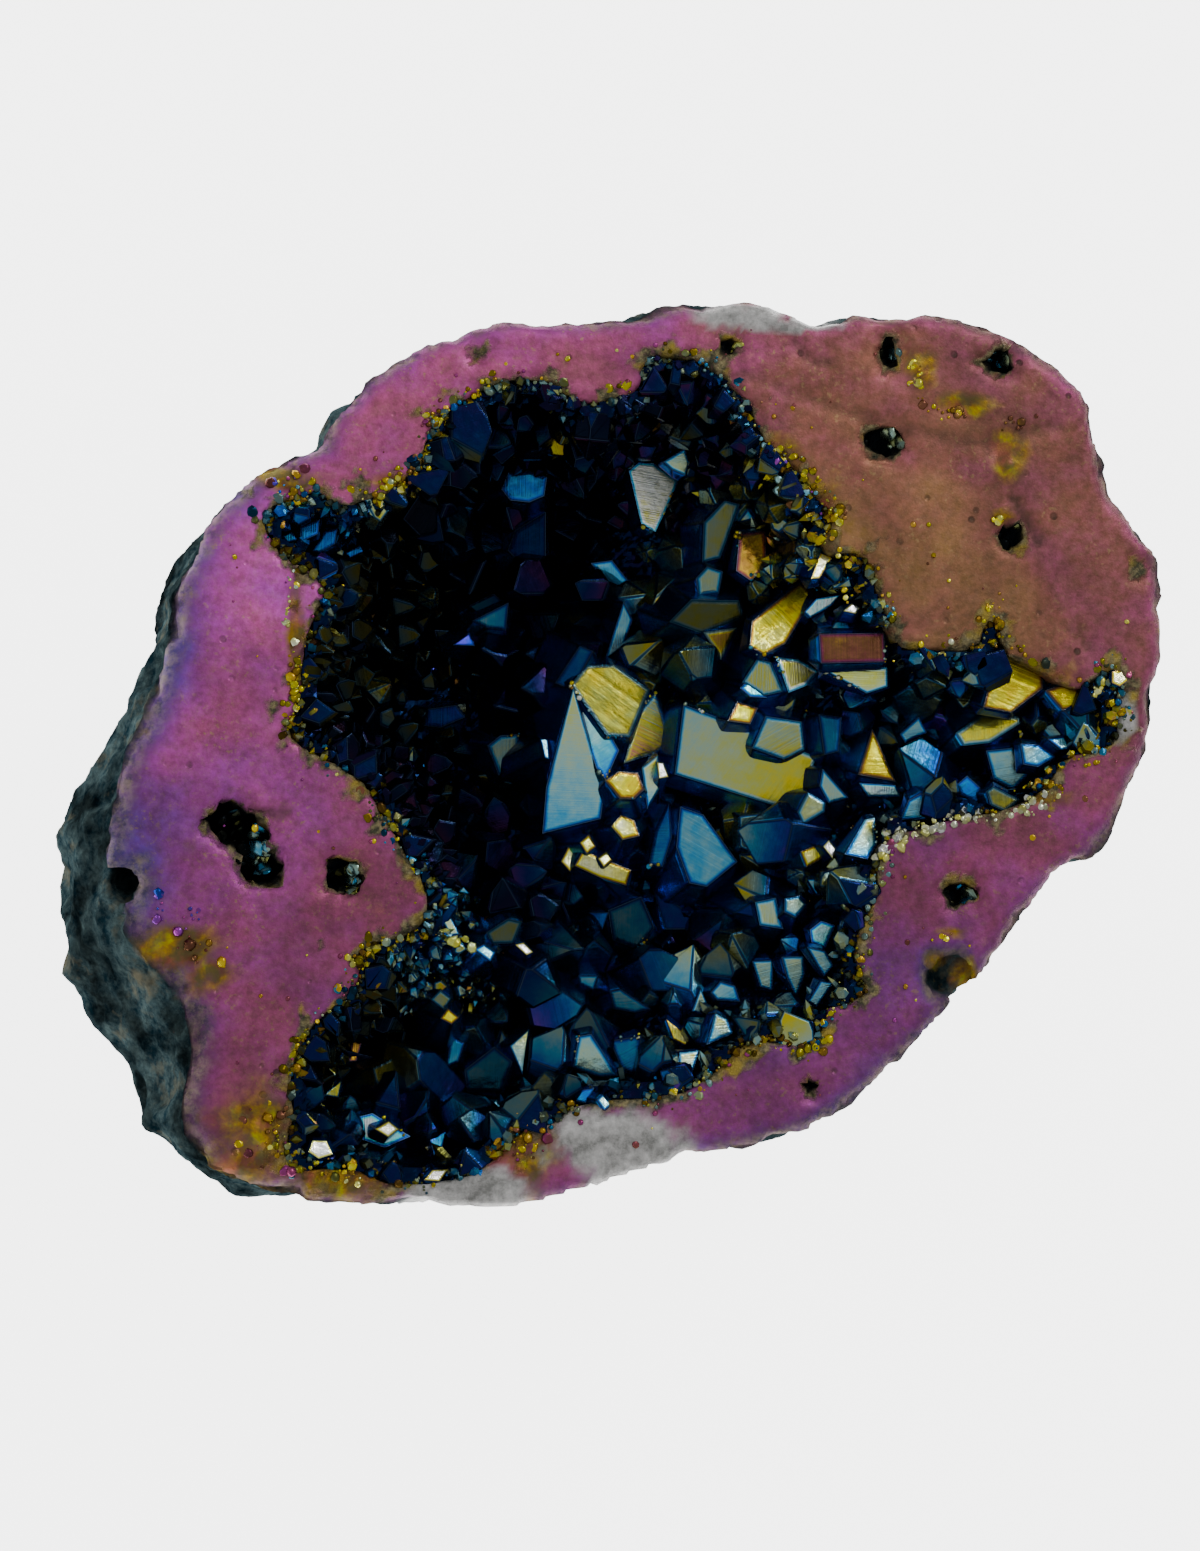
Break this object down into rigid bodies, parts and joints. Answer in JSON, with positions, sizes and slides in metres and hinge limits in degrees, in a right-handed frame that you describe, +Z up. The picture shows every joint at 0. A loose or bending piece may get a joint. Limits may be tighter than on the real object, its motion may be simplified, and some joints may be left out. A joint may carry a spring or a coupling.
{
  "type": "aura quartz geode half",
  "caption": "Half of a coated quartz geode, sawn flat, with a rough rind and an open hollow lined with shiny crystals.",
  "frame": {"origin": "centre of the outline seen from above, at the height of the surface it rests on", "axes": "+Z up, straight out of the sawn face; +X along the longest width of the face; +Y across it"},
  "size_m": [0.0936, 0.0767, 0.036],
  "materials": {
    "coated_rock": "satin film over sawn stone, rough bare rind",
    "coated_crystal": "mirror-like metal-vapour film over quartz"
  },
  "bodies": {
    "root": {"geode_rock": "coated_rock", "crystal_crust": "coated_crystal"}
  },
  "joints": []
}
